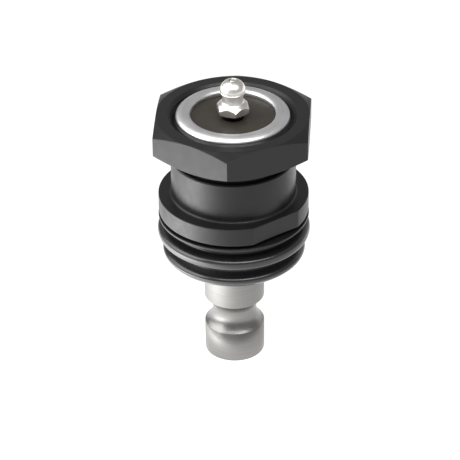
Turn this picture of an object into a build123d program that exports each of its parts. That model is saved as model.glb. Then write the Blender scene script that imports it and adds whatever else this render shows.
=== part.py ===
from build123d import *
from math import asin, cos, radians, sin, tan
import os

# Greaseable ball joint for a suspension arm. Millimetres, +Z up, origin at the ball's centre, which
# is also the middle of the cylinder that the arm's bore sits on. The grease fitting points up, the
# stud points down, and the two wrench flats of the flange face +Y and -Y.

# Fits
ball_clearance = 0.03
seat_clearance = 0.03
collar_clearance = 0.05
thread_clearance = 0.05
check_ball_clearance = 0.02

# Ball stud
ball_radius = 12.25
ball_top_cut = 1.85
neck_radius = 5.5
flare_slope = 1.2
shank_radius = 8.3
journal_step = 0.4
shoulder_gap = 0.3
tilt_limit = radians(22)
groove_below_collar = 15.35
groove_width = 8.8
groove_depth = 2.2
shank_below_groove = 13.35
stud_end_chamfer = 0.6

# Bearing seats
seat_wall = 1.89
seat_crown = 1.82
seat_lip = 0.15
seat_split_gap = 0.6
seat_edge_chamfer = 0.5
seat_swing_margin = radians(4)
upper_seat_hole = 5.0

# Housing
arm_seat_length = 11.2
arm_seat_step = 0.4
arm_seat_fillet = 0.7
shoulder_chamfer = 0.35
flange_overhang = 3.5
flat_overhang = 2.1
flange_thickness = 5.2
flange_edge_chamfer = 0.3
cover_shelf = 0.8
thread_wall = 0.88
thread_depth = 0.62
thread_lead_chamfer = 0.6
relief_width = 0.65
relief_depth = 0.48
swing_room = 0.8
boot_spigot_wall = 3.93
boot_spigot_length = 2.4

# Clamp nut
nut_wall = 3.95
nut_height = 8.4
nut_standoff = 4.3
nut_angle = -10.0
nut_corner_chamfer = 1.65
nut_face_inset = 0.05
nut_bore_chamfer = 0.95

# Cover plate, its seal, the preload spring and the closing ring
cover_thickness = 2.0
cover_seal_width = 1.0
spring_height = 1.3
spring_width = 5.6
spring_inset = 0.07
spring_thickness = 0.5
ring_width = 3.65
ring_round = 2.1
ring_inner_height = 1.45
ring_crest_height = 1.7
ring_shoulder_height = 0.55
wall_above_cover = 0.2

# Grease fitting
fitting_angle = 4.0
fitting_hex = 8.0
fitting_hex_edge = 0.35
fitting_standoff = 1.7
fitting_hex_height = 1.7
fitting_cone_height = 1.25
fitting_neck_radius = 2.8
fitting_neck_height = 3.2
fitting_head_radius = 3.42
fitting_head_height = 3.25
fitting_head_undercut = 0.45
fitting_head_band = 0.7
fitting_top_radius = 2.1
fitting_top_round = 0.35
fitting_thread_radius = 3.0
fitting_thread_chamfer = 0.4
fitting_reach = 2.3
fitting_bore_radius = 0.8
chamber_radius = 1.35
chamber_depth = 4.5
mouth_radius = 1.0
mouth_lip = 0.5
check_ball_radius = 1.2
check_spring_radius = 0.95
check_spring_wire = 0.15
check_spring_turns = 5

# Rubber boot and its rings: sizes out from the spigot, and drops below the flange
boot_wall = 1.1
cuff_wall = 1.6
boot_bend_radius = 0.85
upper_bulge_size = 4.35
upper_bulge_drop = 6.3
valley_size = 1.3
valley_drop = 9.6
lower_bulge_size = 3.0
lower_bulge_drop = 12.7
boot_floor_drop = 14.5
boot_floor_reach = 2.4
upper_ring_overhang = 0.1
upper_ring_thickness = 0.7
upper_ring_chamfer = 0.15
upper_ring_drop = 1.0
collar_drop = 13.8
collar_length = 3.4
collar_wall = 0.85
collar_lip = 0.6
boot_end_wall = 1.1
lower_ring_wire = 0.45

# Radii that follow from the ball outwards
seat_sphere_radius = ball_radius + ball_clearance
seat_outer_radius = seat_sphere_radius + seat_wall
seat_bore_radius = seat_outer_radius + seat_clearance
cover_bore_radius = seat_bore_radius + cover_shelf
thread_root_radius = cover_bore_radius + thread_wall
thread_major_radius = thread_root_radius + thread_depth
relief_radius = thread_root_radius - relief_depth
arm_seat_radius = thread_major_radius + arm_seat_step
flange_radius = arm_seat_radius + flange_overhang
flange_across_flats = 2 * (arm_seat_radius + flat_overhang)
nut_bore_radius = thread_major_radius + thread_clearance
nut_across_flats = 2 * (nut_bore_radius + nut_wall)
nut_corner_radius = nut_across_flats / 3**0.5
spring_outer_radius = seat_outer_radius - seat_edge_chamfer - spring_inset
journal_radius = shank_radius + journal_step
collar_inner_radius = journal_radius + collar_clearance
collar_outer_radius = collar_inner_radius + collar_wall


def sphere_height(radius, r):
    """Height above its centre of a sphere's surface where it is r from the axis, and the reverse."""
    return (radius**2 - r**2) ** 0.5


def swing_radius(z):
    """Radius of the space that the neck needs at height z when the stud tilts to its limit."""
    return neck_radius / cos(tilt_limit) + abs(z) * tan(tilt_limit) + swing_room


# Heights of the housing and what it holds
arm_seat_top = arm_seat_length / 2
flange_top = -arm_seat_length / 2
flange_bottom = flange_top - flange_thickness
seat_edge_angle = asin(neck_radius / ball_radius) + tilt_limit + seat_swing_margin
lower_seat_opening = seat_sphere_radius * sin(seat_edge_angle)
bottom_shelf = -seat_sphere_radius * cos(seat_edge_angle) - seat_lip
spigot_bottom = flange_bottom - boot_spigot_length
spigot_opening = swing_radius(spigot_bottom)
boot_spigot_radius = spigot_opening + boot_spigot_wall
upper_seat_top = seat_sphere_radius + seat_crown
cover_bottom = upper_seat_top + spring_height
cover_top = cover_bottom + cover_thickness
housing_top = cover_top + wall_above_cover
thread_start = arm_seat_top + shoulder_chamfer + relief_width
nut_bottom = arm_seat_top + nut_standoff
nut_top = nut_bottom + nut_height

# Heights of the grease fitting
stem_bottom = cover_bottom - fitting_reach
fitting_bottom = cover_top + fitting_standoff
fitting_cone_bottom = fitting_bottom + fitting_hex_height
fitting_neck_bottom = fitting_cone_bottom + fitting_cone_height
fitting_head_bottom = fitting_neck_bottom + fitting_neck_height
fitting_top = fitting_head_bottom + fitting_head_height
chamber_top = fitting_top - mouth_lip
chamber_bottom = chamber_top - chamber_depth

# Heights of the boot and the stud
collar_top = flange_bottom - collar_drop
collar_bottom = collar_top - collar_length
boot_end = collar_bottom + collar_lip
ball_top = ball_radius - ball_top_cut
neck_end = spigot_bottom * cos(tilt_limit) - spigot_opening * sin(tilt_limit)
journal_start = neck_end - (journal_radius - neck_radius) * flare_slope
shank_start = collar_bottom - shoulder_gap
groove_middle = collar_bottom - groove_below_collar
shank_end = groove_middle - shank_below_groove

os.makedirs("parts", exist_ok=True)

# Housing: one turned forging with the flange, the arm seat, the thread and the bores
with BuildPart() as housing:
    with BuildSketch(Plane.XZ):
        with BuildLine():
            Polyline(
                (spigot_opening, spigot_bottom),
                (boot_spigot_radius, spigot_bottom),
                (boot_spigot_radius, flange_bottom),
                (flange_radius - flange_edge_chamfer, flange_bottom),
                (flange_radius, flange_bottom + flange_edge_chamfer),
                (flange_radius, flange_top - flange_edge_chamfer),
                (flange_radius - flange_edge_chamfer, flange_top),
                (arm_seat_radius + arm_seat_fillet, flange_top),
            )
            ThreePointArc(
                (arm_seat_radius + arm_seat_fillet, flange_top),
                (
                    arm_seat_radius + arm_seat_fillet * (1 - 0.5**0.5),
                    flange_top + arm_seat_fillet * (1 - 0.5**0.5),
                ),
                (arm_seat_radius, flange_top + arm_seat_fillet),
            )
            Polyline(
                (arm_seat_radius, flange_top + arm_seat_fillet),
                (arm_seat_radius, arm_seat_top),
                (arm_seat_radius - shoulder_chamfer, arm_seat_top + shoulder_chamfer),
                (relief_radius, arm_seat_top + shoulder_chamfer),
                (relief_radius, thread_start - thread_root_radius + relief_radius),
                (thread_root_radius, thread_start),
                (thread_root_radius, housing_top - thread_lead_chamfer),
                (thread_root_radius - thread_lead_chamfer, housing_top),
                (cover_bore_radius, housing_top),
                (cover_bore_radius, cover_bottom),
                (seat_bore_radius, cover_bottom),
                (seat_bore_radius, bottom_shelf),
                (swing_radius(bottom_shelf), bottom_shelf),
                (spigot_opening, spigot_bottom),
            )
        make_face()
    revolve(axis=Axis.Z)
    with BuildSketch(Plane.XY.offset(flange_bottom)):
        Circle(2 * flange_radius)
        Rectangle(4 * flange_radius, flange_across_flats, mode=Mode.SUBTRACT)
    extrude(amount=flange_thickness, mode=Mode.SUBTRACT)
housing.part.label = "housing"
export_step(housing.part, "parts/housing.step")

# Clamp nut: hexagon with both faces chamfered, bored clear of the housing's thread
nut_face_radius = nut_across_flats / 2 - nut_face_inset
with BuildPart() as clamp_nut:
    with BuildSketch(Plane.XY.offset(nut_bottom)):
        RegularPolygon(nut_corner_radius, 6, rotation=nut_angle)
    extrude(amount=nut_height)
    with BuildSketch(Plane.XZ):
        with BuildLine():
            Polyline(
                (0, nut_bottom),
                (nut_face_radius, nut_bottom),
                (nut_corner_radius, nut_bottom + nut_corner_chamfer),
                (nut_corner_radius, nut_top - nut_corner_chamfer),
                (nut_face_radius, nut_top),
                (0, nut_top),
                close=True,
            )
        make_face()
    revolve(axis=Axis.Z, mode=Mode.INTERSECT)
    with BuildSketch(Plane.XZ):
        with BuildLine():
            Polyline(
                (0, nut_bottom),
                (nut_bore_radius + nut_bore_chamfer, nut_bottom),
                (nut_bore_radius, nut_bottom + nut_bore_chamfer),
                (nut_bore_radius, nut_top - nut_bore_chamfer),
                (nut_bore_radius + nut_bore_chamfer, nut_top),
                (0, nut_top),
                close=True,
            )
        make_face()
    revolve(axis=Axis.Z, mode=Mode.SUBTRACT)
clamp_nut.part.label = "clamp_nut"
export_step(clamp_nut.part, "parts/clamp_nut.step")

# Ball stud: truncated ball, neck, flare, journal for the boot's collar, and a shank with a pinch
# groove below a small shoulder, in one piece
neck_top = -sphere_height(ball_radius, neck_radius)
groove_top = groove_middle + groove_width / 2
groove_bottom = groove_middle - groove_width / 2
with BuildPart() as ball_stud:
    with BuildSketch(Plane.XZ):
        with BuildLine():
            Polyline(
                (0, shank_end),
                (0, ball_top),
                (sphere_height(ball_radius, ball_top), ball_top),
            )
            ThreePointArc(
                (sphere_height(ball_radius, ball_top), ball_top),
                (ball_radius, 0),
                (neck_radius, neck_top),
            )
            Polyline(
                (neck_radius, neck_top),
                (neck_radius, neck_end),
                (journal_radius, journal_start),
                (journal_radius, shank_start),
                (shank_radius, shank_start),
                (shank_radius, groove_top),
            )
            ThreePointArc(
                (shank_radius, groove_top),
                (shank_radius - groove_depth, groove_middle),
                (shank_radius, groove_bottom),
            )
            Polyline(
                (shank_radius, groove_bottom),
                (shank_radius, shank_end + stud_end_chamfer),
                (shank_radius - stud_end_chamfer, shank_end),
                (0, shank_end),
            )
        make_face()
    revolve(axis=Axis.Z)
ball_stud.part.label = "ball_stud"
export_step(ball_stud.part, "parts/ball_stud.step")

# Lower bearing seat: from just under the ball's middle down to the housing's shelf
lower_seat_height = sphere_height(seat_sphere_radius, lower_seat_opening)
lower_seat_start = sphere_height(seat_sphere_radius, seat_split_gap / 2)
with BuildPart() as lower_seat:
    with BuildSketch(Plane.XZ):
        with BuildLine():
            ThreePointArc(
                (lower_seat_start, -seat_split_gap / 2),
                (sphere_height(seat_sphere_radius, lower_seat_height / 2), -lower_seat_height / 2),
                (lower_seat_opening, -lower_seat_height),
            )
            Polyline(
                (lower_seat_opening, -lower_seat_height),
                (lower_seat_opening, bottom_shelf),
                (seat_outer_radius - seat_edge_chamfer, bottom_shelf),
                (seat_outer_radius, bottom_shelf + seat_edge_chamfer),
                (seat_outer_radius, -seat_split_gap / 2),
                (lower_seat_start, -seat_split_gap / 2),
            )
        make_face()
    revolve(axis=Axis.Z)
lower_seat.part.label = "lower_seat"
export_step(lower_seat.part, "parts/lower_seat.step")

# Upper bearing seat: the upper half of the socket, with a hole that lets the grease through
upper_seat_height = sphere_height(seat_sphere_radius, upper_seat_hole)
with BuildPart() as upper_seat:
    with BuildSketch(Plane.XZ):
        with BuildLine():
            ThreePointArc(
                (lower_seat_start, seat_split_gap / 2),
                (sphere_height(seat_sphere_radius, upper_seat_height / 2), upper_seat_height / 2),
                (upper_seat_hole, upper_seat_height),
            )
            Polyline(
                (upper_seat_hole, upper_seat_height),
                (upper_seat_hole, upper_seat_top),
                (seat_outer_radius - seat_edge_chamfer, upper_seat_top),
                (seat_outer_radius, upper_seat_top - seat_edge_chamfer),
                (seat_outer_radius, seat_split_gap / 2),
                (lower_seat_start, seat_split_gap / 2),
            )
        make_face()
    revolve(axis=Axis.Z)
upper_seat.part.label = "upper_seat"
export_step(upper_seat.part, "parts/upper_seat.step")

# Preload spring: a disc spring between the upper seat and the cover plate
with BuildPart() as preload_spring:
    with BuildSketch(Plane.XZ):
        with BuildLine():
            Polyline(
                (spring_outer_radius, upper_seat_top),
                (spring_outer_radius, upper_seat_top + spring_thickness),
                (spring_outer_radius - spring_width, cover_bottom),
                (spring_outer_radius - spring_width, cover_bottom - spring_thickness),
                close=True,
            )
        make_face()
    revolve(axis=Axis.Z)
preload_spring.part.label = "preload_spring"
export_step(preload_spring.part, "parts/preload_spring.step")

# Cover plate: closes the socket, carries the grease fitting, and has a seal groove in its rim
seal_bottom = cover_bottom + (cover_thickness - cover_seal_width) / 2
seal_top = seal_bottom + cover_seal_width
seal_inner_radius = cover_bore_radius - cover_seal_width
with BuildPart() as cover_plate:
    with BuildSketch(Plane.XZ):
        with BuildLine():
            Polyline(
                (fitting_thread_radius, cover_bottom),
                (cover_bore_radius, cover_bottom),
                (cover_bore_radius, seal_bottom),
                (seal_inner_radius, seal_bottom),
                (seal_inner_radius, seal_top),
                (cover_bore_radius, seal_top),
                (cover_bore_radius, cover_top),
                (fitting_thread_radius, cover_top),
                close=True,
            )
        make_face()
    revolve(axis=Axis.Z)
cover_plate.part.label = "cover_plate"
export_step(cover_plate.part, "parts/cover_plate.step")

# Cover seal: rubber ring that fills the groove in the cover plate's rim
with BuildPart() as cover_seal:
    with BuildSketch(Plane.XZ):
        with Locations((cover_bore_radius - cover_seal_width / 2, (seal_bottom + seal_top) / 2)):
            Rectangle(cover_seal_width, cover_seal_width)
        fillet(vertices().group_by(Axis.X)[0], radius=cover_seal_width * 0.4)
    revolve(axis=Axis.Z)
cover_seal.part.label = "cover_seal"
export_step(cover_seal.part, "parts/cover_seal.step")

# Closing ring: bright rolled ring that holds the cover plate down, rounded over its outer edge
ring_inner = cover_bore_radius - ring_width
ring_crest = cover_bore_radius - ring_round
with BuildPart() as closing_ring:
    with BuildSketch(Plane.XZ):
        with BuildLine():
            Polyline(
                (ring_crest, cover_top + ring_crest_height),
                (ring_inner, cover_top + ring_inner_height),
                (ring_inner, cover_top),
                (cover_bore_radius, cover_top),
                (cover_bore_radius, cover_top + ring_shoulder_height),
            )
            EllipticalCenterArc(
                (ring_crest, cover_top + ring_shoulder_height),
                ring_round,
                ring_crest_height - ring_shoulder_height,
                start_angle=0,
                arc_size=90,
            )
        make_face()
    revolve(axis=Axis.Z)
closing_ring.part.label = "closing_ring"
export_step(closing_ring.part, "parts/closing_ring.step")

# Grease fitting: hexagon with a cone on it, neck, nipple head, threaded stem and a ball chamber
hex_corner_radius = fitting_hex / 3**0.5
head_band_bottom = fitting_head_bottom + fitting_head_undercut
with BuildPart() as grease_fitting:
    with BuildSketch(Plane.XY.offset(fitting_bottom)):
        RegularPolygon(hex_corner_radius, 6, rotation=fitting_angle)
    extrude(amount=fitting_hex_height + fitting_cone_height)
    with BuildSketch(Plane.XZ):
        with BuildLine():
            Polyline(
                (0, fitting_bottom),
                (hex_corner_radius - fitting_hex_edge, fitting_bottom),
                (hex_corner_radius, fitting_bottom + fitting_hex_edge / 2),
                (hex_corner_radius, fitting_cone_bottom),
                (fitting_neck_radius, fitting_neck_bottom),
                (0, fitting_neck_bottom),
                close=True,
            )
        make_face()
    revolve(axis=Axis.Z, mode=Mode.INTERSECT)
    with BuildSketch(Plane.XZ):
        with BuildLine():
            Polyline(
                (0, stem_bottom),
                (fitting_thread_radius - fitting_thread_chamfer, stem_bottom),
                (fitting_thread_radius, stem_bottom + fitting_thread_chamfer),
                (fitting_thread_radius, fitting_bottom),
                (fitting_neck_radius, fitting_bottom),
                (fitting_neck_radius, fitting_head_bottom),
                (fitting_head_radius, head_band_bottom),
                (fitting_head_radius, head_band_bottom + fitting_head_band),
                (fitting_top_radius + fitting_top_round, fitting_top - fitting_top_round),
                (fitting_top_radius, fitting_top),
                (0, fitting_top),
                close=True,
            )
        make_face()
    revolve(axis=Axis.Z)
    with BuildSketch(Plane.XZ):
        with BuildLine():
            Polyline(
                (0, stem_bottom),
                (fitting_bore_radius, stem_bottom),
                (fitting_bore_radius, chamber_bottom),
                (chamber_radius, chamber_bottom),
                (chamber_radius, chamber_top),
                (mouth_radius, chamber_top),
                (mouth_radius, fitting_top),
                (0, fitting_top),
                close=True,
            )
        make_face()
    revolve(axis=Axis.Z, mode=Mode.SUBTRACT)
grease_fitting.part.label = "grease_fitting"
export_step(grease_fitting.part, "parts/grease_fitting.step")

# Check ball: closes the fitting's mouth from inside
check_ball_height = chamber_top - sphere_height(check_ball_radius, mouth_radius) - check_ball_clearance
with BuildPart() as check_ball:
    with BuildSketch(Plane.XZ):
        with BuildLine():
            ThreePointArc(
                (0, check_ball_height - check_ball_radius),
                (check_ball_radius, check_ball_height),
                (0, check_ball_height + check_ball_radius),
            )
            Line((0, check_ball_height + check_ball_radius), (0, check_ball_height - check_ball_radius))
        make_face()
    revolve(axis=Axis.Z)
check_ball.part.label = "check_ball"
export_step(check_ball.part, "parts/check_ball.step")

# Check spring: coil under the check ball, from the chamber's floor to the ball's underside
coil_bottom = chamber_bottom + check_spring_wire
coil_ball_contact = ((check_ball_radius + check_spring_wire) ** 2 - check_spring_radius**2) ** 0.5
coil_top = check_ball_height - coil_ball_contact - check_ball_clearance
with BuildPart() as check_spring:
    with BuildLine():
        coil = Helix(
            pitch=(coil_top - coil_bottom) / check_spring_turns,
            height=coil_top - coil_bottom,
            radius=check_spring_radius,
            center=(0, 0, coil_bottom),
        )
    with BuildSketch(Plane(origin=coil @ 0, z_dir=coil % 0)):
        Circle(check_spring_wire)
    sweep()
check_spring.part.label = "check_spring"
export_step(check_spring.part, "parts/check_spring.step")

# Boot: cuff on the housing's spigot, two bulges, and an end that grips the collar on the stud
boot_half = boot_wall / 2
boot_floor = flange_bottom - boot_floor_drop
end_radius = collar_outer_radius + boot_end_wall / 2
with BuildPart() as boot:
    with BuildSketch(Plane.XZ):
        with BuildLine():
            FilletPolyline(
                (boot_spigot_radius + boot_half, flange_bottom),
                (boot_spigot_radius + boot_half, spigot_bottom - boot_wall),
                (boot_spigot_radius + upper_bulge_size, flange_bottom - upper_bulge_drop),
                (boot_spigot_radius + valley_size, flange_bottom - valley_drop),
                (boot_spigot_radius + lower_bulge_size, flange_bottom - lower_bulge_drop),
                (collar_outer_radius + boot_floor_reach, boot_floor),
                (end_radius, boot_floor),
                radius=boot_bend_radius,
            )
        trace(line_width=boot_wall)
        with BuildLine():
            Polyline(
                (boot_spigot_radius, flange_bottom),
                (boot_spigot_radius, spigot_bottom),
                (boot_spigot_radius + cuff_wall, spigot_bottom),
                (boot_spigot_radius + cuff_wall, flange_bottom),
                close=True,
            )
        make_face()
        with BuildLine():
            Polyline(
                (collar_outer_radius, collar_top),
                (collar_outer_radius + boot_end_wall, collar_top),
                (collar_outer_radius + boot_end_wall, boot_end),
                (collar_outer_radius, boot_end),
                close=True,
            )
        make_face()
    revolve(axis=Axis.Z)
boot.part.label = "boot"
export_step(boot.part, "parts/boot.step")

# Upper boot ring: flat steel ring that clamps the boot's cuff on the spigot, just under the flange
ring_top = flange_bottom - upper_ring_drop
with BuildPart() as upper_boot_ring:
    with BuildSketch(Plane.XY.offset(ring_top - upper_ring_thickness)):
        Circle(flange_radius + upper_ring_overhang)
        Circle(boot_spigot_radius + cuff_wall, mode=Mode.SUBTRACT)
    extrude(amount=upper_ring_thickness)
    chamfer(edges().filter_by(GeomType.CIRCLE).group_by(SortBy.RADIUS)[-1], length=upper_ring_chamfer)
upper_boot_ring.part.label = "upper_boot_ring"
export_step(upper_boot_ring.part, "parts/upper_boot_ring.step")

# Boot collar: sleeve bonded in the boot's small end, in which the stud turns
with BuildPart() as boot_collar:
    with BuildSketch(Plane.XZ):
        with BuildLine():
            Polyline(
                (collar_inner_radius, collar_bottom),
                (collar_outer_radius + boot_end_wall, collar_bottom),
                (collar_outer_radius + boot_end_wall, boot_end),
                (collar_outer_radius, boot_end),
                (collar_outer_radius, collar_top),
                (collar_inner_radius, collar_top),
                close=True,
            )
        make_face()
    revolve(axis=Axis.Z)
boot_collar.part.label = "boot_collar"
export_step(boot_collar.part, "parts/boot_collar.step")

# Lower boot ring: round wire ring that holds the boot's small end on the collar
ring_middle = (boot_floor - boot_half + boot_end) / 2
with BuildPart() as lower_boot_ring:
    with BuildSketch(Plane.XZ):
        with Locations((collar_outer_radius + boot_end_wall + lower_ring_wire, ring_middle)):
            Circle(lower_ring_wire)
    revolve(axis=Axis.Z)
lower_boot_ring.part.label = "lower_boot_ring"
export_step(lower_boot_ring.part, "parts/lower_boot_ring.step")
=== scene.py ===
import math

import bmesh
import bpy
import numpy as np
from mathutils import Matrix, Vector

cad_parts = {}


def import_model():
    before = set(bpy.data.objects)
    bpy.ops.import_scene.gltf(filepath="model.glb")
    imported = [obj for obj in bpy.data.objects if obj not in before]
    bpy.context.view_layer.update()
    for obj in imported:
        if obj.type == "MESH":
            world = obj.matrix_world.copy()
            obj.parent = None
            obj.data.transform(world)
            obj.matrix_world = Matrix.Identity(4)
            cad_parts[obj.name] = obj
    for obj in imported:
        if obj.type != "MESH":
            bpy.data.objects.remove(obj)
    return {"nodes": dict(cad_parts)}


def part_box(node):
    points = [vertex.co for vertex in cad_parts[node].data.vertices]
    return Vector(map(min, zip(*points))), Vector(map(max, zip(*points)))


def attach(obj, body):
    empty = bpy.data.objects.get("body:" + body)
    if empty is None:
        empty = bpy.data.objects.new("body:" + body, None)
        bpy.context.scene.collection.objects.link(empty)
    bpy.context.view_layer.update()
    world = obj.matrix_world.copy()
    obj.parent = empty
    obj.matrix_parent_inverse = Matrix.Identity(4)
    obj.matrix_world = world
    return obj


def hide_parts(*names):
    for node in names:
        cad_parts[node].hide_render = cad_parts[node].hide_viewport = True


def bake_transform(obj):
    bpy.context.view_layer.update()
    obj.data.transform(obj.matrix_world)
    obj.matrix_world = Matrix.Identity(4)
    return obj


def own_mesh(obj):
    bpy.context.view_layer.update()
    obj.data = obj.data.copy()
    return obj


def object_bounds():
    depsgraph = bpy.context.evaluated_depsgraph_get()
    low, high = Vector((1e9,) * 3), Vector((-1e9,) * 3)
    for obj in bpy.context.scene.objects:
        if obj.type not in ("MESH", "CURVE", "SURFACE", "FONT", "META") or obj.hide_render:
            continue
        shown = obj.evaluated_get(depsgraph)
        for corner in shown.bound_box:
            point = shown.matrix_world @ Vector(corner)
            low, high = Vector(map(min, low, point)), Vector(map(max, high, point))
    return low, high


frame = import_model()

cad_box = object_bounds()

MM = 0.001
TURN = 2 * math.pi


# ---------------------------------------------------------------- shapes

def height(node, end):
    """Height of a node's underside (end 0) or top (end 1), in millimetres."""
    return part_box(node)[end][2] / MM


def width(node):
    """Half the larger horizontal size of a node's box, in millimetres."""
    low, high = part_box(node)
    return max(high[0] - low[0], high[1] - low[1]) / 2 / MM


def rounded(corners, widths, steps=5):
    """Closed outline with its corners rounded. A corner P becomes the parabola
    (1-t)^2 A + 2t(1-t) P + t^2 C, where A and C lie `width` from P on its two sides, and one more
    point on each side keeps the long faces flat. The corners may be an array (..., corners, 2)."""
    corners = np.asarray(corners, float)
    before = np.roll(corners, 1, axis=-2) - corners
    after = np.roll(corners, -1, axis=-2) - corners
    before_length = np.linalg.norm(before, axis=-1)
    after_length = np.linalg.norm(after, axis=-1)
    room = 0.36 * np.minimum(before_length, after_length)
    t = np.linspace(0, 1, steps + 1)[:, None]
    runs = []
    for i, asked in enumerate(widths):
        corner = corners[..., i:i + 1, :]
        if asked == 0:
            runs.append(corner)
            continue
        reach = np.minimum(asked, room[..., i])[..., None, None]
        to_before = before[..., i:i + 1, :] / before_length[..., i, None, None] * reach
        to_after = after[..., i:i + 1, :] / after_length[..., i, None, None] * reach
        curve = (1 - t)**2 * (corner + to_before) + 2 * t * (1 - t) * corner
        curve = curve + t**2 * (corner + to_after)
        runs += [corner + 1.3 * to_before, curve, corner + 1.3 * to_after]
    return np.concatenate(runs, axis=-2)


def smoothed(corners, steps=6):
    """Closed soft outline: a quadratic B-spline, which runs from the middle of each side to the
    middle of the next as a parabola with the corner as its control point."""
    corners = np.asarray(corners, float)
    start = (np.roll(corners, 1, axis=0) + corners) / 2
    end = (np.roll(corners, -1, axis=0) + corners) / 2
    t = (np.arange(steps) / steps)[None, :, None]
    curve = (1 - t)**2 * start[:, None] + 2 * t * (1 - t) * corners[:, None] + t**2 * end[:, None]
    return curve.reshape(-1, 2)


def mesh_piece(name, points, faces, material):
    """A smooth-shaded mesh object from points in millimetres."""
    mesh = bpy.data.meshes.new(name)
    mesh.from_pydata((np.asarray(points) * MM).tolist(), [], faces)
    mesh.polygons.foreach_set("use_smooth", np.ones(len(mesh.polygons), bool))
    mesh.update()
    piece = bpy.data.objects.new(name, mesh)
    bpy.context.scene.collection.objects.link(piece)
    mesh.materials.append(material)
    return piece


def grid_faces(rows, columns, wrap_rows):
    """Quads between neighbouring rows and columns; columns always wrap."""
    i = np.arange(rows if wrap_rows else rows - 1)[:, None]
    j = np.arange(columns)[None, :]
    corners = [(i, j), (i + 1, j), (i + 1, j + 1), (i, j + 1)]
    quads = [((a % rows) * columns + b % columns) * np.ones_like(i * j) for a, b in corners]
    return np.stack(quads, axis=-1).reshape(-1, 4)


def turned(name, outline, material, angles=None, solid=False):
    """Surface of revolution. The point at angle a and outline point (r, z) is
    (r cos a, r sin a, z). The outline runs anticlockwise in (r, z); where it has one row for each
    angle, the section changes round the axis. A solid piece's outline is open, from under to
    over, and each of its ends closes on a point of the axis."""
    if angles is None:
        angles = np.arange(288) / 288 * TURN
    outline = np.asarray(outline, float)
    if outline.ndim == 2:
        outline = np.broadcast_to(outline, (len(angles), *outline.shape))
    r, z = outline[..., 0], outline[..., 1]
    points = np.stack([r * np.cos(angles)[:, None], r * np.sin(angles)[:, None], z], axis=-1)
    rows, columns = points.shape[:2]
    if not solid:
        faces = grid_faces(rows, columns, True).tolist()
        return mesh_piece(name, points.reshape(-1, 3), faces, material)
    quads = grid_faces(rows, columns, True)
    faces = quads[quads[:, 3] % columns != 0].tolist()
    low, high = rows * columns, rows * columns + 1
    i = np.arange(rows) * columns
    k = np.roll(i, -1)
    faces += np.stack([np.full(rows, low), k, i], axis=-1).tolist()
    faces += np.stack([np.full(rows, high), i + columns - 1, k + columns - 1], axis=-1).tolist()
    poles = [[0, 0, z[0, 0]], [0, 0, z[0, -1]]]
    return mesh_piece(name, np.concatenate([points.reshape(-1, 3), poles]), faces, material)


def arc(centre_r, centre_z, radius, start, end, count):
    """Points of an arc in (r, z), from start to end in degrees."""
    a = np.radians(np.linspace(start, end, count))
    return np.stack([centre_r + radius * np.cos(a), centre_z + radius * np.sin(a)], axis=-1)


def hexagon(flats, turn, corner_round, per_side=36):
    """Angles round a hexagon and its radius there: half the flats over the cosine of the angle
    from the middle of the side, and near a corner a circle of radius corner_round."""
    half = flats / 2
    edge = math.atan((half - corner_round) * math.tan(math.pi / 6) / half)
    side = np.linspace(-edge, edge, per_side)
    side = np.concatenate([side[:1] * 0.997, side[1:-1], side[-1:] * 0.997])
    bend = np.linspace(edge, math.pi / 3 - edge, 7)
    away = np.concatenate([side, bend])
    radius_side = half / np.cos(side)
    centre = (half - corner_round) / math.cos(math.pi / 6)
    off = bend - math.pi / 6
    radius_bend = centre * np.cos(off) + np.sqrt(corner_round**2 - (centre * np.sin(off))**2)
    radius = np.concatenate([radius_side, radius_bend])
    start = turn + math.pi / 6
    angles = (start + np.arange(6)[:, None] * math.pi / 3 + away[None, :]).reshape(-1)
    return angles, np.tile(radius, 6)


def helical_ridge(name, root, crest, low, high, pitch, phase, material, per_turn=120):
    """Thread: a closed ridge profile carried along a helix. At turn angle a its middle is at
    height low + pitch * a / turn; the crest's radius falls back to the root over the first and
    last third of a turn. root and crest are radii, crest under root makes an inside thread."""
    turns = (high - low) / pitch
    steps = int(turns * per_turn)
    a = np.linspace(0, turns * TURN, steps + 1)
    fade = np.clip(np.minimum(a, a[-1] - a) / (TURN / 3), 0.02, 1)
    sink = 0.06 if crest > root else -0.06
    across = np.array([-0.47, -0.44, -0.09, 0.09, 0.44, 0.47]) * pitch
    rise = np.array([0, 0, 1, 1, 0, 0])
    depth = np.array([1, 0, 0, 0, 0, 1])
    r = root + (crest - root) * rise * fade[:, None] - sink * depth
    z = low + pitch * a[:, None] / TURN + across * (0.3 + 0.7 * fade[:, None])
    turn_angle = (a + phase)[:, None]
    points = np.stack([r * np.cos(turn_angle), r * np.sin(turn_angle), z], axis=-1)
    rows, columns = points.shape[:2]
    quads = grid_faces(rows, columns, False)
    if crest > root:
        quads = quads[:, ::-1]
    faces = quads.tolist()
    cap = list(range(columns))
    last = [(rows - 1) * columns + k for k in range(columns)]
    faces += [cap if crest > root else cap[::-1], last[::-1] if crest > root else last]
    return mesh_piece(name, points.reshape(-1, 3), faces, material)


def outward(piece):
    """Turns a closed mesh's faces outward."""
    work = bmesh.new()
    work.from_mesh(piece.data)
    bmesh.ops.recalc_face_normals(work, faces=work.faces)
    work.to_mesh(piece.data)
    work.free()


def place(piece, body, slot, *nodes):
    """The piece rides on a body and may stand for CAD nodes, which it hides. The slot is not used."""
    outward(piece)
    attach(piece, body)
    if nodes:
        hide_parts(*nodes)
    return piece


# ---------------------------------------------------------------- materials

def new_material(name):
    """A node material, with its tree and its shader."""
    material = bpy.data.materials.new(name)
    material.use_nodes = True
    return material, material.node_tree, material.node_tree.nodes["Principled BSDF"]


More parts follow.
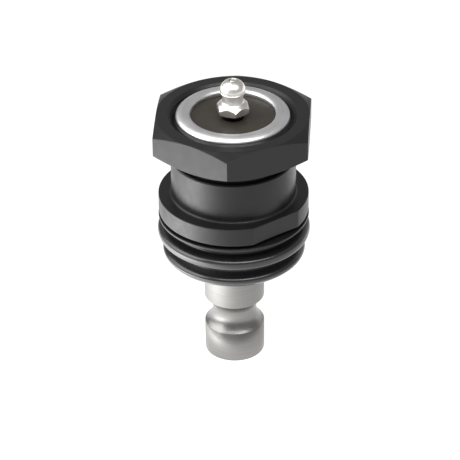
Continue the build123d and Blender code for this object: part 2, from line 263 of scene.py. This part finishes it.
def maths(tree, operation, first, second=None):
    """A Math node on a socket and, where it takes two, a socket or a number."""
    node = tree.nodes.new("ShaderNodeMath")
    node.operation = operation
    tree.links.new(first, node.inputs[0])
    if isinstance(second, float):
        node.inputs[1].default_value = second
    elif second is not None:
        tree.links.new(second, node.inputs[1])
    return node.outputs[0]


def coordinates(tree, scale):
    """Object coordinates times scale."""
    where = tree.nodes.new("ShaderNodeTexCoord")
    mapping = tree.nodes.new("ShaderNodeMapping")
    mapping.inputs["Scale"].default_value = (scale, scale, scale)
    tree.links.new(where.outputs["Object"], mapping.inputs["Vector"])
    return mapping.outputs["Vector"]


def ring_coordinates(tree, across, around):
    """Coordinates that hardly change round the Z axis, so a noise on them draws turning marks:
    (distance from the axis, angle, height), each with its own scale."""
    where = tree.nodes.new("ShaderNodeTexCoord")
    parts = tree.nodes.new("ShaderNodeSeparateXYZ")
    tree.links.new(where.outputs["Object"], parts.inputs[0])
    x, y, z = parts.outputs
    squares = maths(tree, "ADD", maths(tree, "MULTIPLY", x, x), maths(tree, "MULTIPLY", y, y))
    distance = maths(tree, "MULTIPLY", maths(tree, "SQRT", squares), across)
    along = maths(tree, "MULTIPLY", z, across)
    turn = maths(tree, "MULTIPLY", maths(tree, "ABSOLUTE", maths(tree, "ARCTAN2", y, x)), around)
    joined = tree.nodes.new("ShaderNodeCombineXYZ")
    for socket, value in zip(joined.inputs, (distance, turn, along)):
        tree.links.new(value, socket)
    return joined.outputs[0]


def noise(tree, vector, scale, detail=4.0, roughness=0.6):
    """Noise on a vector socket, from 0 to 1."""
    node = tree.nodes.new("ShaderNodeTexNoise")
    node.inputs["Scale"].default_value = scale
    node.inputs["Detail"].default_value = detail
    node.inputs["Roughness"].default_value = roughness
    tree.links.new(vector, node.inputs["Vector"])
    return node.outputs["Fac"]


def ramp(tree, fac, stops):
    """A colour ramp: stops are (place, colour), a colour being a number or (r, g, b)."""
    node = tree.nodes.new("ShaderNodeValToRGB")
    elements = node.color_ramp.elements
    while len(elements) < len(stops):
        elements.new(0.5)
    for element, (place_at, colour) in zip(elements, stops):
        element.position = place_at
        rgb = colour if isinstance(colour, tuple) else (colour, colour, colour)
        element.color = (*rgb, 1)
    tree.links.new(fac, node.inputs["Fac"])
    return node.outputs["Color"]


def bumps(tree, shader, heights):
    """Bump nodes in a row: heights are (fac, strength, distance in metres)."""
    last = None
    for fac, strength, distance in heights:
        node = tree.nodes.new("ShaderNodeBump")
        node.inputs["Strength"].default_value = strength
        node.inputs["Distance"].default_value = distance
        tree.links.new(fac, node.inputs["Height"])
        if last is not None:
            tree.links.new(last, node.inputs["Normal"])
        last = node.outputs["Normal"]
    tree.links.new(last, shader.inputs["Normal"])


def black_coating(name, tone, rough_low, rough_high, grain=1.0, marks=0.0):
    """Black phosphate on steel: a dark satin coat with a fine grain and faint turning marks."""
    material, tree, shader = new_material(name)
    here = coordinates(tree, 1000.0)
    cloud = noise(tree, here, 0.35, 3.0)
    speck = noise(tree, here, 5.5, 5.0, 0.7)
    low = tuple(0.75 * t for t in tone)
    high = tuple(1.35 * t for t in tone)
    tree.links.new(ramp(tree, speck, [(0.3, low), (0.72, high)]), shader.inputs["Base Color"])
    tree.links.new(ramp(tree, cloud, [(0.3, rough_low), (0.7, rough_high)]), shader.inputs["Roughness"])
    shader.inputs["Specular IOR Level"].default_value = 0.37
    heights = [(speck, 0.20 * grain, 0.00004)]
    if marks:
        heights.append((noise(tree, ring_coordinates(tree, 3500.0, 1.2), 1.0, 3.0), marks, 0.00003))
    bumps(tree, shader, heights)
    return material


def turned_steel(name, tone, rough_low, rough_high, marks, across=5200.0):
    """Bare turned steel: metallic, with fine lines that run round the axis."""
    material, tree, shader = new_material(name)
    lines = noise(tree, ring_coordinates(tree, across, 0.8), 1.0, 3.0)
    cloud = noise(tree, coordinates(tree, 1000.0), 0.25, 3.0)
    low = tuple(0.86 * t for t in tone)
    tree.links.new(ramp(tree, lines, [(0.3, low), (0.65, tone)]), shader.inputs["Base Color"])
    tree.links.new(ramp(tree, cloud, [(0.3, rough_low), (0.7, rough_high)]), shader.inputs["Roughness"])
    shader.inputs["Metallic"].default_value = 1.0
    bumps(tree, shader, [(lines, marks, 0.00002)])
    return material


def painted_shade_below(material, level):
    """Painted shade: whatever wears the material is near black below a height in millimetres, standing in for
    the shadow under the grease fitting's hexagon.
    """
    tree = material.node_tree
    shader = tree.nodes["Principled BSDF"]
    metal = shader.inputs["Base Color"].links[0].from_socket
    parts = tree.nodes.new("ShaderNodeSeparateXYZ")
    tree.links.new(coordinates(tree, 1000.0), parts.inputs[0])
    # Painted shade: below the level the metal's colour is swapped for near black.
    above = maths(tree, "GREATER_THAN", parts.outputs[2], level)
    mix = tree.nodes.new("ShaderNodeMix")
    mix.data_type = "RGBA"
    mix.inputs["A"].default_value = (0.012, 0.010, 0.008, 1)
    tree.links.new(above, mix.inputs["Factor"])
    tree.links.new(metal, mix.inputs["B"])
    tree.links.new(mix.outputs["Result"], shader.inputs["Base Color"])


def moulded_rubber():
    """Black rubber: slightly glossy, with a fine moulded grain and dull patches."""
    material, tree, shader = new_material("boot_rubber")
    here = coordinates(tree, 1000.0)
    cloud = noise(tree, here, 0.3, 3.0)
    grain = noise(tree, here, 4.0, 4.0, 0.6)
    tree.links.new(ramp(tree, grain, [(0.3, 0.008), (0.7, 0.017)]), shader.inputs["Base Color"])
    tree.links.new(ramp(tree, cloud, [(0.3, 0.16), (0.7, 0.25)]), shader.inputs["Roughness"])
    shader.inputs["Specular IOR Level"].default_value = 0.75
    bumps(tree, shader, [(grain, 0.10, 0.00004), (cloud, 0.12, 0.0002)])
    return material


def plain_plastic(name, tone, rough):
    """Moulded acetal: a soft sheen and a faint grain."""
    material, tree, shader = new_material(name)
    grain = noise(tree, coordinates(tree, 1000.0), 3.0, 4.0)
    low = tuple(0.9 * t for t in tone)
    tree.links.new(ramp(tree, grain, [(0.3, low), (0.7, tone)]), shader.inputs["Base Color"])
    shader.inputs["Roughness"].default_value = rough
    bumps(tree, shader, [(grain, 0.08, 0.00004)])
    return material


housing_black = black_coating("housing_black", (0.009, 0.009, 0.009), 0.30, 0.40, 0.8, 0.06)
nut_black = black_coating("nut_black", (0.010, 0.010, 0.010), 0.32, 0.42, 0.9, 0.0)
ring_black = black_coating("boot_ring_black", (0.012, 0.012, 0.012), 0.28, 0.36, 0.4)
cover_olive = black_coating("cover_phosphate", (0.034, 0.029, 0.023), 0.36, 0.48, 0.9)
stud_steel = turned_steel("stud_steel", (0.275, 0.269, 0.260), 0.28, 0.38, 0.40)
ring_bright = turned_steel("ring_bright", (0.84, 0.84, 0.84), 0.36, 0.46, 0.05, 1800.0)
nickel = turned_steel("fitting_nickel", (0.95, 0.92, 0.87), 0.28, 0.36, 0.03, 1500.0)
spring_steel = turned_steel("spring_steel", (0.32, 0.32, 0.33), 0.26, 0.36, 0.05)
rubber = moulded_rubber()
collar_black = plain_plastic("collar_black", (0.02, 0.02, 0.02), 0.4)
seat_plastic = plain_plastic("seat_plastic", (0.80, 0.78, 0.70), 0.45)
seal_rubber = plain_plastic("seal_rubber", (0.015, 0.015, 0.015), 0.5)


# ---------------------------------------------------------------- clamp nut

NUT_TURN = math.radians(-10.0)
NUT_FLATS = 41.0
NUT_FACE = 20.45
NUT_BEVEL = 1.55
NUT_BORE = 16.55
NUT_BORE_BEVEL = 0.95
NUT_THREAD_CREST = 15.98
NUT_THREAD_INSET = 0.75
PITCH = 1.0


def clamp_nut():
    """Hexagon nut. Its section at angle a runs from the bore over both chamfered faces: the
    outside is at the hexagon's radius h(a), and each face's chamfer rises in proportion to how
    far h(a) lies outside the face's circle."""
    angles, radius = hexagon(NUT_FLATS, NUT_TURN, 0.22)
    low, high = height("clamp_nut", 0), height("clamp_nut", 1)
    corner = NUT_FLATS / 3**0.5
    drop = NUT_BEVEL * (radius - NUT_FACE) / (corner - NUT_FACE)
    whole = np.ones_like(radius)
    corners = np.stack([
        np.stack([NUT_BORE * whole, (low + NUT_BORE_BEVEL) * whole], -1),
        np.stack([(NUT_BORE + NUT_BORE_BEVEL) * whole, low * whole], -1),
        np.stack([NUT_FACE * whole, low * whole], -1),
        np.stack([radius, low + drop], -1),
        np.stack([radius, high - drop], -1),
        np.stack([NUT_FACE * whole, high * whole], -1),
        np.stack([(NUT_BORE + NUT_BORE_BEVEL) * whole, high * whole], -1),
        np.stack([NUT_BORE * whole, (high - NUT_BORE_BEVEL) * whole], -1),
    ], axis=1)
    outline = rounded(corners, [0.1, 0.15, 0.12, 0.12, 0.12, 0.12, 0.15, 0.1], 3)
    nut = turned("clamp_nut_body", outline, nut_black, angles)
    place(nut, "nut_body", "nut_black", "clamp_nut")
    thread = helical_ridge(
        "clamp_nut_thread", NUT_BORE, NUT_THREAD_CREST, low + NUT_THREAD_INSET,
        high - NUT_THREAD_INSET, PITCH, math.pi, nut_black,
    )
    place(thread, "nut_body", "nut_black")


# ---------------------------------------------------------------- housing

ARM_SEAT = 16.9
ARM_SEAT_HALF = 5.6
SHOULDER_BEVEL = 0.35
RELIEF = 15.4
FLANGE = 20.4
FLANGE_THICKNESS = 5.2
FLAT = 19.0
SPIGOT = 16.0
SPIGOT_OPENING = 12.07
SEAT_OPENING = 9.8
SEAT_BORE = 14.2
COVER_BORE = 15.0
THREAD_ROOT = 15.88
THREAD_CREST = 16.46
THREAD_LEAD = 0.6


def housing():
    """Turned body. In the flange the radius is cut back to the two flats, FLAT / |sin a|, less
    the amount by which the outline's own point lies inside the rim."""
    top = height("housing", 1)
    shelf = height("lower_seat", 0)
    bottom = height("housing", 0)
    cover_shelf = height("cover_plate", 0)
    seat_top = ARM_SEAT_HALF
    flange_top = -ARM_SEAT_HALF
    flange_bottom = flange_top - FLANGE_THICKNESS
    shoulder_top = seat_top + SHOULDER_BEVEL
    corners = [
        (SPIGOT_OPENING, bottom), (SPIGOT, bottom), (SPIGOT, flange_bottom), (FLANGE, flange_bottom),
        (FLANGE, flange_top), (ARM_SEAT, flange_top), (ARM_SEAT, seat_top),
        (ARM_SEAT - SHOULDER_BEVEL, shoulder_top), (RELIEF, shoulder_top), (RELIEF, seat_top + 0.6),
        (THREAD_ROOT, seat_top + 1.0), (THREAD_ROOT, top - THREAD_LEAD), (THREAD_ROOT - THREAD_LEAD, top),
        (COVER_BORE, top), (COVER_BORE, cover_shelf), (SEAT_BORE, cover_shelf),
        (SEAT_BORE, shelf), (SEAT_OPENING, shelf),
    ]
    widths = [
        0.2, 0.2, 0.3, 0.28, 0.22, 0.75, 0.1, 0.1, 0.1,
        0.1, 0.1, 0.15, 0.1, 0.05, 0.1, 0.1, 0.1, 0.2,
    ]
    outline = rounded(corners, widths, 6)
    edge = math.asin(FLAT / FLANGE)
    side = np.concatenate([
        np.linspace(-edge, edge, 90), np.linspace(edge, math.pi - edge, 62)[1:-1],
    ])
    angles = np.concatenate([side, side + math.pi])
    sine = np.maximum(np.abs(np.sin(angles)), 0.2)[:, None]
    r = np.broadcast_to(outline[:, 0], (len(angles), len(outline))).copy()
    z = np.broadcast_to(outline[:, 1], r.shape)
    in_flange = (z < flange_top + 0.05) & (z > flange_bottom - 0.05) & (r > ARM_SEAT + 1)
    limit = (FLAT - (FLANGE - r)) / sine
    r = np.where(in_flange, np.minimum(r, limit), r)
    body = turned("housing_body_shell", np.stack([r, z], -1), housing_black, angles)
    place(body, "housing_body", "housing_black", "housing")
    thread = helical_ridge(
        "housing_thread", THREAD_ROOT, THREAD_CREST, seat_top + 1.3, top - 0.5, PITCH, 0.0,
        housing_black,
    )
    place(thread, "housing_body", "housing_black")


# ---------------------------------------------------------------- closing ring and cover

RING_CREST = 12.9
RING_OUTSIDE = 15.3
RING_INSIDE = 11.4


def closing_ring():
    """Rolled ring of half-round section: a quarter ellipse outside the crest, a smaller one
    inside it, and short upright edges down to the cover plate."""
    low, high = height("closing_ring", 0), height("closing_ring", 1)
    outer_edge, inner_edge = 0.25, 0.75
    a = np.radians(np.linspace(0, 90, 26))
    outer = np.stack([
        RING_CREST + (RING_OUTSIDE - RING_CREST) * np.cos(a),
        low + outer_edge + (high - low - outer_edge) * np.sin(a),
    ], axis=-1)
    inner = np.stack([
        RING_CREST + (RING_INSIDE - RING_CREST) * np.sin(a),
        low + inner_edge + (high - low - inner_edge) * np.cos(a),
    ], axis=-1)
    foot = [
        (RING_INSIDE, low + 0.12), (RING_INSIDE + 0.06, low + 0.02),
        (RING_OUTSIDE - 0.4, low + 0.02), (RING_OUTSIDE - 0.2, low + 0.22),
    ]
    outline = np.concatenate([outer, inner[1:], foot])
    ring = turned("closing_ring_rolled", outline, ring_bright)
    place(ring, "housing_body", "ring_bright", "closing_ring")


FITTING_STANDOFF = 1.7
FITTING_FLATS = 8.0
FITTING_TURN = math.radians(4.0)
FITTING_STEM = 3.0
FITTING_NECK = 2.8
FITTING_HEAD = 3.42
FITTING_BORE = 0.8
CHAMBER = 1.35
MOUTH = 1.0
MOUTH_LIP = 0.5


def grease_fitting():
    """Hexagon with a domed top, a waisted neck and a domed nipple head, hollow where the ball
    sits. The section at angle a is the turned outline; in the hexagon it reaches the hexagon's
    radius h(a), and the dome falls faster beyond the middle of the flats."""
    low, high = height("grease_fitting", 0), height("grease_fitting", 1)
    base = height("cover_plate", 1) + FITTING_STANDOFF
    # Painted shade: the stem under the hexagon is coloured near black for the shadow in the gap over the
    # cover plate.
    painted_shade_below(nickel, base - 0.05)
    angles, radius = hexagon(FITTING_FLATS, FITTING_TURN, 0.12, 20)
    whole = np.ones_like(radius)
    half = FITTING_FLATS / 2
    past_flats = (radius - half) / (FITTING_FLATS / 3**0.5 - half)

    def level(r, z):
        return np.stack([r * whole, z * whole], -1)

    corners = np.stack([
        level(FITTING_BORE, low), level(FITTING_STEM - 0.4, low),
        level(FITTING_STEM, low + 0.4), level(FITTING_STEM, base),
        level(3.6, base), np.stack([radius, base + 0.25 * past_flats], -1),
        np.stack([radius, base + 2.15 - 0.85 * past_flats], -1),
        level(3.75, base + 2.33), level(FITTING_NECK + 0.05, base + 2.95),
        level(FITTING_NECK, base + 4.2), level(FITTING_NECK + 0.05, base + 5.45),
        level(FITTING_HEAD, base + 5.9),
    ], axis=1)
    widths = [0.1, 0.1, 0.1, 0.1, 0.1, 0.1, 0.1, 0.25, 0.4, 0.6, 0.25, 0.12]
    body = rounded(corners, widths, 4)[:, 1:]
    dome_foot = base + 6.35
    dome_rise = high - 0.08 - dome_foot
    t = np.radians(np.linspace(0, 72, 16))
    dome_height = dome_foot + dome_rise * np.sin(t) / math.sin(t[-1])
    dome = np.stack([FITTING_HEAD * np.cos(t), dome_height], axis=-1)
    chamber_bottom = high - 5.0
    mouth = [
        (MOUTH, high - 0.1), (MOUTH, high - MOUTH_LIP), (CHAMBER, high - MOUTH_LIP),
        (CHAMBER, chamber_bottom), (FITTING_BORE, chamber_bottom),
    ]
    inside = np.broadcast_to(np.concatenate([dome, mouth]), (len(angles), len(dome) + len(mouth), 2))
    outline = np.concatenate([body, inside], axis=1)
    fitting = turned("grease_fitting_body", outline, nickel, angles)
    place(fitting, "housing_body", "fitting_nickel", "grease_fitting")


def ball(name, node, material, body, slot):
    """Sphere that fills a node's box."""
    low, high = height(node, 0), height(node, 1)
    radius = (high - low) / 2
    outline = arc(0, (low + high) / 2, radius, -86, 86, 24)
    piece = turned(name, outline, material, np.arange(48) / 48 * TURN, solid=True)
    place(piece, body, slot, node)


# ---------------------------------------------------------------- stud

STUD = 8.3
JOURNAL = 8.7
JOURNAL_TOP = -20.45
NECK = 5.5
NECK_LOW = -16.7
NECK_HIGH = -11.6
BALL = 12.25
SHOULDER_GAP = 0.3
GROOVE_DROP = 15.35
GROOVE_ROUND = 5.5
GROOVE_DEPTH = 2.2
EDGE_ROUND = 0.08


def stud():
    """Ball, neck, flare, journal and shank, with the pinch groove as an arc."""
    bottom, top = height("ball_stud", 0), height("ball_stud", 1)
    collar_bottom = height("boot_collar", 0)
    shoulder = collar_bottom - SHOULDER_GAP
    edge = math.degrees(math.asin(top / BALL))
    foot = math.degrees(math.acos(NECK / BALL))
    groove_middle = collar_bottom - GROOVE_DROP
    groove = arc(STUD + GROOVE_ROUND - GROOVE_DEPTH, groove_middle, GROOVE_ROUND, 233, 127, 33)
    lower = rounded([
        (0.0, bottom), (STUD, bottom), groove[0], (STUD, bottom - 9),
    ], [0, 0.5, 0, 0], 6)[1:9]
    shank = [
        (STUD, groove_middle + 4.46), (STUD, groove_middle + 4.6), (STUD, shoulder - 0.15),
        (STUD, shoulder - 0.05), (STUD + EDGE_ROUND, shoulder), (JOURNAL - EDGE_ROUND, shoulder),
        (JOURNAL, shoulder + EDGE_ROUND), (JOURNAL, shoulder + 0.2), (JOURNAL, JOURNAL_TOP - 0.35),
        (JOURNAL, JOURNAL_TOP - 0.2), (JOURNAL - EDGE_ROUND, JOURNAL_TOP),
        (NECK + 0.1, NECK_LOW - 0.3), (NECK, NECK_LOW), (NECK, NECK_LOW + 0.2),
        (NECK, NECK_HIGH), (NECK + 0.05, NECK_HIGH + 0.4),
    ]
    sphere = arc(0, 0, BALL, -foot + 0.6, edge - 0.4, 72)
    crown = [(sphere[-1][0] - 0.12, top), (sphere[-1][0] - 0.3, top), (0.4, top)]
    foot_ring = [(0.4, bottom), (STUD - 1.1, bottom)]
    outline = np.concatenate([foot_ring, lower, groove, shank, sphere, crown])
    piece = turned("ball_stud_turned", outline, stud_steel, solid=True)
    place(piece, "stud_body", "stud_steel", "ball_stud")


# ---------------------------------------------------------------- boot and rings


def boot():
    """Rubber boot: a soft closed outline turned round the axis. The outer side goes from the
    small end over both bulges to the cuff, and the inner side comes back one wall inside it."""
    outer = [
        (9.62, -27.35), (10.75, -27.38), (10.72, -26.1), (11.4, -25.9), (14.0, -25.85),
        (17.3, -25.6), (18.6, -24.5), (19.35, -23.7), (19.6, -22.7), (19.0, -21.9), (16.9, -21.25),
        (16.75, -20.0), (17.4, -19.1), (19.6, -18.8), (20.75, -18.0), (20.85, -16.1), (19.9, -15.45),
        (18.0, -15.1), (17.55, -14.2), (17.6, -12.0), (17.6, -10.86),
    ]
    inner = [
        (16.05, -10.86), (16.05, -12.6), (16.2, -14.4), (17.2, -16.3), (19.3, -16.6), (19.5, -17.6),
        (17.2, -18.0), (15.75, -19.3), (15.75, -21.6), (17.0, -22.3), (18.0, -22.7), (17.4, -23.6),
        (14.4, -24.4), (11.0, -24.6), (9.62, -24.62),
    ]
    outline = smoothed(outer + inner, 6)
    piece = turned("boot_moulded", outline, rubber)
    outward(piece)
    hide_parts("boot")
    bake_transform(piece)


def boot_rings():
    """Flat ring under the flange, sleeve in the boot's small end, and wire ring round that end."""
    low, high = height("upper_boot_ring", 0), height("upper_boot_ring", 1)
    corners = [(17.6, low), (20.5, low), (20.5, high), (17.6, high)]
    ring = turned("upper_boot_ring_flat", rounded(corners, [0.1, 0.22, 0.22, 0.1], 4), ring_black)
    place(ring, "housing_body", "boot_ring_black", "upper_boot_ring")

    low, high = height("boot_collar", 0), height("boot_collar", 1)
    corners = [
        (8.75, low), (10.7, low), (10.7, low + 0.6), (9.6, low + 0.6), (9.6, high), (8.75, high),
    ]
    collar = turned("boot_collar_sleeve", rounded(corners, [0.08, 0.15, 0.1, 0.1, 0.1, 0.1], 3), collar_black)
    place(collar, "collar_body", "collar_black", "boot_collar")

    low, high = height("lower_boot_ring", 0), height("lower_boot_ring", 1)
    wire = (high - low) / 2
    circle = arc(width("lower_boot_ring") - wire, (low + high) / 2, wire, 0, 345, 24)
    wire_ring = turned("lower_boot_ring_wire", circle, ring_black)
    place(wire_ring, "collar_body", "boot_ring_black", "lower_boot_ring")


def preload_spring():
    """Dished spring washer, a turned parallelogram. The real washer flattens as the seat takes up wear; this
    piece keeps its dished shape.
    """
    low, high = height("preload_spring", 0), height("preload_spring", 1)
    outside, inside, sheet = 13.6, 8.0, 0.6
    corners = [(outside, low), (outside, low + sheet), (inside, high), (inside, high - sheet)]
    outline = rounded(corners, [0.12, 0.12, 0.12, 0.12], 3)
    washer = turned("preload_spring_washer", outline, spring_steel)
    place(washer, "housing_body", "spring_steel", "preload_spring")
    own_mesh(washer)


def check_spring():
    """Coil spring: a round wire carried along a helix. The point at turn angle a and section
    angle b is at radius coil + wire cos b and height foot + rise a + wire sin b."""
    low, high = height("check_spring", 0), height("check_spring", 1)
    wire, turns, per_turn = 0.15, 5, 40
    coil = width("check_spring") - wire
    a = np.linspace(0, turns * TURN, turns * per_turn + 1)[:, None]
    b = (np.arange(10) / 10 * TURN)[None, :]
    r = coil + wire * np.cos(b)
    z = low + wire + (high - low - 2 * wire) * a / a[-1] + wire * np.sin(b)
    points = np.stack([r * np.cos(a), r * np.sin(a), z], axis=-1)
    rows, columns = points.shape[:2]
    faces = grid_faces(rows, columns, False).tolist()
    faces += [list(range(columns)), [(rows - 1) * columns + k for k in range(columns)]]
    spring = mesh_piece("check_spring_coil", points.reshape(-1, 3), faces, spring_steel)
    place(spring, "housing_body", "spring_steel", "check_spring")
    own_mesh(spring)


def finish_cad_nodes():
    """The hidden CAD pieces keep their shape and take a finished material."""
    finishes = {
        "cover_plate": cover_olive, "cover_seal": seal_rubber,
        "upper_seat": seat_plastic, "lower_seat": seat_plastic,
    }
    for node, material in finishes.items():
        slots = frame["nodes"][node].material_slots
        for material_slot in slots:
            material_slot.material = material


clamp_nut()
housing()
closing_ring()
grease_fitting()
ball("check_ball_round", "check_ball", nickel, "check_ball_body", "fitting_nickel")
stud()
boot()
boot_rings()
preload_spring()
check_spring()
finish_cad_nodes()


# ---------------------------------------------------------------- floor, light and camera

CAMERA_TURN = math.radians(-36.0)
CAMERA_LIFT = math.radians(32.49)
CAMERA_ROLL = math.radians(-0.56)
CAMERA_DISTANCE = 0.6698
CAMERA_LENS = 191.3
AIM = Vector((0, 0, -0.01847))
AIM_SIDE = -0.00107
ROOM_GLOW = 0.36
FLOOR_GLOW = 0.90
PATCH_GLOW = 8.0
PATCH_REACH = 0.058
PATCH_TURN = math.radians(-70.0)
PATCH_DISTANCE = 0.105


def floor_white():
    """White light table. It glows evenly, and more in a patch to the left of the object: the glow
    is FLOOR_GLOW + PATCH_GLOW exp(-(d / PATCH_REACH)^2), where d is the distance from the middle
    of the patch."""
    material, tree, shader = new_material("floor_white")
    shader.inputs["Base Color"].default_value = (0.18, 0.18, 0.18, 1)
    shader.inputs["Roughness"].default_value = 0.9
    shader.inputs["Specular IOR Level"].default_value = 0.0
    shader.inputs["Emission Color"].default_value = (1, 1, 1, 1)
    where = tree.nodes.new("ShaderNodeTexCoord")
    away = tree.nodes.new("ShaderNodeVectorMath")
    away.operation = "DISTANCE"
    turn = CAMERA_TURN + PATCH_TURN
    away.inputs[1].default_value = (
        math.sin(turn) * PATCH_DISTANCE, -math.cos(turn) * PATCH_DISTANCE, cad_box[0][2],
    )
    tree.links.new(where.outputs["Object"], away.inputs[0])
    share = maths(tree, "DIVIDE", away.outputs["Value"], PATCH_REACH)
    square = maths(tree, "MULTIPLY", share, share)
    fall = maths(tree, "EXPONENT", maths(tree, "MULTIPLY", square, -1.0))
    glow = maths(tree, "ADD", maths(tree, "MULTIPLY", fall, PATCH_GLOW), FLOOR_GLOW)
    tree.links.new(glow, shader.inputs["Emission Strength"])
    return material


def floor():
    """Plain pale floor that the stud's end rests on."""
    half = 3.0
    level = cad_box[0][2]
    mesh = bpy.data.meshes.new("floor")
    corners = [(-half, -half, level), (half, -half, level), (half, half, level), (-half, half, level)]
    mesh.from_pydata(corners, [], [(0, 1, 2, 3)])
    piece = bpy.data.objects.new("floor", mesh)
    bpy.context.scene.collection.objects.link(piece)
    mesh.materials.append(floor_white())


def directions(turn, lift):
    """Right, up and backward unit vectors of a view from azimuth turn and elevation lift."""
    back = Vector((math.sin(turn) * math.cos(lift), -math.cos(turn) * math.cos(lift), math.sin(lift)))
    right = Vector((math.cos(turn), math.sin(turn), 0))
    return right, back.cross(right), back


def camera():
    """Long lens on a point of the axis, moved sideways by AIM_SIDE."""
    right, up, back = directions(CAMERA_TURN, CAMERA_LIFT)
    x = math.cos(CAMERA_ROLL) * right + math.sin(CAMERA_ROLL) * up
    y = back.cross(x)
    data = bpy.data.cameras.new("camera")
    data.lens = CAMERA_LENS
    data.sensor_width = 36.0
    data.clip_start = 0.05
    piece = bpy.data.objects.new("camera", data)
    bpy.context.scene.collection.objects.link(piece)
    place_at = AIM + x * AIM_SIDE + back * CAMERA_DISTANCE
    piece.matrix_world = Matrix.Translation(place_at) @ Matrix((x, y, back)).transposed().to_4x4()
    bpy.context.scene.camera = piece


def softbox(name, turn, distance, level, size, brightness, aim_level=AIM.z):
    """Rectangular light that the camera doesn't see. It stands turn degrees to the right of the
    camera, at a distance from the axis and a level above the ball, and faces the axis at
    aim_level. Its brightness is the radiance of its face."""
    wide, tall = size
    angle = CAMERA_TURN + math.radians(turn)
    place_at = Vector((math.sin(angle) * distance, -math.cos(angle) * distance, level))
    back = (place_at - Vector((0, 0, aim_level))).normalized()
    across = Vector((math.cos(angle), math.sin(angle), 0))
    data = bpy.data.lights.new(name, "AREA")
    data.shape = "RECTANGLE"
    data.size, data.size_y = wide, tall
    data.energy = brightness * math.pi * wide * tall
    piece = bpy.data.objects.new(name, data)
    piece.visible_camera = False
    bpy.context.scene.collection.objects.link(piece)
    turned_to = Matrix((across, back.cross(across), back)).transposed().to_4x4()
    piece.matrix_world = Matrix.Translation(place_at) @ turned_to


def world():
    """Soft grey room light, with plain white behind the object."""
    scene_world = bpy.data.worlds.new("studio")
    scene_world.use_nodes = True
    tree = scene_world.node_tree
    room = tree.nodes["Background"]
    room.inputs["Color"].default_value = (1, 1, 1, 1)
    room.inputs["Strength"].default_value = ROOM_GLOW
    backdrop = tree.nodes.new("ShaderNodeBackground")
    backdrop.inputs["Strength"].default_value = 1.0
    backdrop.inputs["Color"].default_value = (1, 1, 1, 1)
    path = tree.nodes.new("ShaderNodeLightPath")
    either = tree.nodes.new("ShaderNodeMixShader")
    tree.links.new(path.outputs["Is Camera Ray"], either.inputs[0])
    tree.links.new(room.outputs[0], either.inputs[1])
    tree.links.new(backdrop.outputs[0], either.inputs[2])
    tree.links.new(either.outputs[0], tree.nodes["World Output"].inputs["Surface"])
    bpy.context.scene.world = scene_world


floor()
world()
camera()
softbox("left_near", -85, 0.14, 0.060, (0.20, 0.16), 1.8, 0.010)
softbox("left_far", -75, 0.35, 0.220, (0.40, 0.30), 1.2)
softbox("over_left", -90, 0.25, 0.450, (0.35, 0.30), 1.6)
softbox("over_front", 0, 0.22, 0.450, (0.35, 0.25), 4.2)
softbox("over_right", 50, 0.30, 0.420, (0.25, 0.20), 3.0)
softbox("edge_right", 125, 0.10, -0.010, (0.06, 0.09), 0.5, -0.010)
bpy.context.scene.view_settings.view_transform = "Standard"
